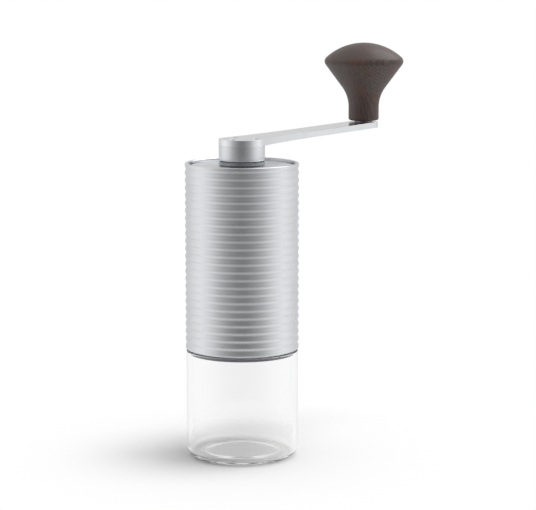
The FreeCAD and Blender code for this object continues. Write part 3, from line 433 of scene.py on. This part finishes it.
def stainedWood(name):
    finish, tree, shader, inMm = startFinish(name)
    place = addNode(tree, "TexCoord")
    centred = addNode(tree, "Mapping", {"Location": tuple(-c for c in wood["centre"])}, {"Vector": inMm})
    pithX, pithY = wood["pith"]
    trunk = addNode(tree, "Mapping", {"Location": (-pithX, -pithY, 0), "Rotation": wood["lean"]},
                    {"Vector": centred.outputs[0]})
    rings = addNode(tree, "TexWave", {"wave_type": "RINGS", "rings_direction": "Z", "Distortion": 4.0,
                                      "Scale": 2 * math.pi / wavePhase / wood["ringMm"], "Detail": 2.0,
                                      "Detail Scale": 0.6}, {"Vector": trunk.outputs[0]})
    drawn = addNode(tree, "Mapping", {"Scale": (1, 1, wood["along"])}, {"Vector": centred.outputs[0]})
    fibre = addNode(tree, "TexNoise", {"Scale": 1 / wood["fibreMm"], "Detail": 4.0, "Roughness": 0.6},
                    {"Vector": drawn.outputs[0]})
    pores = addNode(tree, "TexNoise", {"Scale": 1 / wood["poreMm"], "Detail": 2.0},
                    {"Vector": drawn.outputs[0]})
    spread = addNode(tree, "Mapping", {"Location": wood["patchShift"]}, {"Vector": centred.outputs[0]})
    patch = addNode(tree, "TexNoise", {"Scale": 1 / wood["patchMm"], "Detail": 3.0},
                    {"Vector": spread.outputs[0]})
    figure = addNode(tree, "Mix", {"data_type": "FLOAT", 0: wood["ringShare"]},
                     {2: fibre.outputs[0], 3: rings.outputs["Fac"]})
    stain = addNode(tree, "ValToRGB", {}, {0: figure.outputs[0]})
    setStops(stain, [(spot, colour(hexCode)) for spot, hexCode in wood["stain"]])
    warm = addNode(tree, "ValToRGB", {}, {0: patch.outputs[0]})
    setStops(warm, [(wood["warmFrom"], grey(0)), (wood["warmTo"], grey(wood["warmShare"]))])
    glow = addNode(tree, "Mix", {"data_type": "RGBA", 7: colour(wood["warm"])},
                   {0: warm.outputs[0], 6: stain.outputs[0]})
    facing = addNode(tree, "SeparateXYZ", {}, {0: place.outputs["Normal"]})
    # painted shade together with end grain: faces turned up are darkened against the lamp overhead
    topShade = softStep(tree, facing.outputs["Z"], wood["topShadeFrom"], wood["topShadeTo"], 1.0, wood["endGrainAndShade"])
    pit = addNode(tree, "ValToRGB", {}, {0: pores.outputs[0]})
    setStops(pit, [(wood["poreFrom"], grey(wood["poreShade"])), (wood["poreTo"], grey(1))])
    stainedAndShaded = addNode(tree, "Mix", {"data_type": "RGBA", "blend_type": "MULTIPLY", 0: 1.0},
                     {6: glow.outputs[2], 7: topShade.outputs[0]})
    skin = addNode(tree, "Mix", {"data_type": "RGBA", "blend_type": "MULTIPLY", 0: 1.0},
                   {6: stainedAndShaded.outputs[2], 7: pit.outputs[0]})
    relief = addNode(tree, "Bump", {"Strength": wood["poreDepth"], "Distance": wood["relief"]},
                     {"Height": pit.outputs[0]})
    dull = addNode(tree, "MapRange", {"To Min": wood["gloss"], "To Max": wood["dull"]},
                   {"Value": fibre.outputs[0]})
    tree.links.new(skin.outputs[2], shader.inputs["Base Color"])
    tree.links.new(dull.outputs[0], shader.inputs["Roughness"])
    tree.links.new(relief.outputs[0], shader.inputs["Normal"])
    shader.inputs["Coat Weight"].default_value = wood["oil"]
    shader.inputs["Coat Roughness"].default_value = wood["oilRough"]
    return finish


# turned metals: name, colour, roughness, width of the tool's rings in mm, their depth, depth of the grain
# and, where it isn't the usual one, how far the roughness wanders
finishes = {
    "ribbed_aluminium": turnedMetal("blastedAluminium", "#E6E8EB", 0.28, 0.35, 0.03, 0.03),
    "satin_aluminium": turnedMetal("spunAluminium", "#E4E6E8", 0.38, 0.5, 0.10, 0.03),
    "hub_aluminium": turnedMetal("turnedAluminium", "#E4E6E9", 0.24, 0.4, 0.06, 0.03),
    "aluminium": turnedMetal("machinedAluminium", "#C9CBCE", 0.35, 0.3, 0.15, 0.05),
    "arm_steel": turnedMetal("polishedSteel", "#EEEFF1", 0.17, 0.5, 0.02, 0.02, 0.03),
    "grey_nylon": mouldedSkin("greyNylon", "#AEADB4"),
    # the screws' sockets are painted dark below a level, as painted shade
    "dark_screw": paintShadeBelow(turnedMetal("screwSteelSocketShade", "#EEEFF1", 0.20, 0.3, 0.02, 0.02),
                            armTop - socketShadeDrop, "#1E1E20"),
    # the bush's foot below the undercut's level gets painted shade
    "dark_metal": paintShadeBelow(turnedMetal("darkMetalPaintedFootShade", "#AAAAAE", 0.20, 0.4, 0.08, 0.05),
                            bushFoot, "#606064"),
    "shaft_steel": turnedMetal("groundSteel", "#C2C3C6", 0.22, 0.2, 0.08, 0.03),
    "spring_steel": turnedMetal("drawnSteel", "#9A9B9F", 0.28, 0.3, 0.05, 0.04),
    "bearing_steel": turnedMetal("hardenedSteel", "#C6C7CB", 0.12, 0.3, 0.02, 0.02, 0.03),
    "burr_steel": turnedMetal("millingSteel", "#A9AAAE", 0.30, 0.25, 0.12, 0.08),
    "brass": turnedMetal("machinedBrass", "#C7A25A", 0.28, 0.3, 0.12, 0.05),
    "glass": blownGlass("blownGlass"),
    "clear_rubber": mouldedSkin("clearSilicone", "#E8E8EE", 0.9),
    "black_rubber": mouldedSkin("blackRubber", "#1B1B1C"),
    "wood": stainedWood("stainedHardwood"),
}


def pickPoints(piece, wanted):
    bpy.ops.mesh.select_all(action="DESELECT")
    bpy.ops.object.mode_set(mode="OBJECT")
    for point in piece.data.vertices:
        point.select = wanted(point.co)
    bpy.ops.object.mode_set(mode="EDIT")


nearby = 0.01 * mm                  # points closer than this are one
smoothAngle = math.radians(40)


# a turned piece: its outline is drawn from point to point, the corners are rounded, then it is spun round
def turnPiece(name, outline, steps, arcSteps):
    bpy.ops.object.select_all(action="DESELECT")
    bpy.ops.mesh.primitive_plane_add(size=mm)
    piece = bpy.context.object
    piece.name = name
    bpy.ops.object.mode_set(mode="EDIT")
    bpy.ops.mesh.select_mode(type="VERT")
    bpy.ops.mesh.select_all(action="SELECT")
    bpy.ops.mesh.merge(type="CENTER")
    spots = [Vector((radius, 0, height)) * mm for radius, height, rounding in outline]
    bpy.ops.transform.translate(value=spots[0])
    for last, spot in zip(spots, spots[1:]):
        bpy.ops.mesh.extrude_vertices_move(TRANSFORM_OT_translate={"value": spot - last})
    for spot, (radius, height, rounding) in zip(spots, outline):
        if rounding:
            pickPoints(piece, lambda place: (place - spot).length < nearby)
            bpy.ops.mesh.bevel(offset=rounding * mm, segments=arcSteps, affect="VERTICES",
                               clamp_overlap=False)
    bpy.ops.mesh.select_all(action="SELECT")
    bpy.ops.mesh.spin(steps=steps, angle=2 * math.pi, center=(0, 0, 0), axis=(0, 0, 1))
    bpy.ops.mesh.select_all(action="SELECT")
    bpy.ops.mesh.remove_doubles(threshold=nearby)
    bpy.ops.mesh.normals_make_consistent(inside=False)
    bpy.ops.object.mode_set(mode="OBJECT")
    bpy.ops.object.shade_smooth_by_angle(angle=smoothAngle)
    bpy.ops.object.modifier_add(type="WEIGHTED_NORMAL")   # long walls stay straight beside their rounds
    piece.modifiers[-1].keep_sharp = True
    bpy.ops.object.modifier_apply(modifier=piece.modifiers[-1].name)
    return piece


# blown jar: thin walls, a wide round at the foot, and a pushed-up floor that rests on a ring
jar = {
    "radius": 27.6,
    "wall": 2.2,
    "height": 53.65,
    "rimRound": 0.5,
    "footRound": 5.0,
    "cornerRound": 1.8,
    "floor": 2.5,
    "pushRadius": 17.5,
    "pushHeight": 0.6,
    "pushSlope": 3.0,
    "pushRound": 2.2,
    "steps": 128,
    "arcSteps": 8,
}


def makeJar():
    inside = jar["radius"] - jar["wall"]
    foot = jar["pushRadius"] + jar["pushSlope"]
    glass = turnPiece("jarGlass", [
        (0, jar["pushHeight"], 0),
        (jar["pushRadius"], jar["pushHeight"], jar["pushRound"]),
        (foot, 0, jar["pushRound"]),
        (jar["radius"], 0, jar["footRound"]),
        (jar["radius"], jar["height"], jar["rimRound"]),
        (inside, jar["height"], jar["rimRound"]),
        (inside, jar["floor"], jar["cornerRound"]),
        (foot, jar["floor"], jar["pushRound"]),
        (jar["pushRadius"], jar["floor"] + jar["pushHeight"], jar["pushRound"]),
        (0, jar["floor"] + jar["pushHeight"], 0),
    ], jar["steps"], jar["arcSteps"])
    glass.data.materials.append(finishes["glass"])
    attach(glass, "jar")
    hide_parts("jar_glass")
    print("jar turned:", len(glass.data.polygons), "faces")


makeJar()

# the washer under the knob is painted darker than the bush that shares its slot, as the shade in the gap
# under the knob
special = {"knob_washer": turnedMetal("washerSteelPaintedShade", "#74757A", 0.25, 0.3, 0.05, 0.03)}
for row in frame["record"]["subparts"]:
    node = frame["nodes"][row["node"]]
    finish = special.get(row["node"], finishes[row["material_slot"]])
    if not node.material_slots:
        node.data.materials.append(finish)
    for held in node.material_slots:
        held.material = finish
print("finishes given to", len(frame["nodes"]), "nodes")
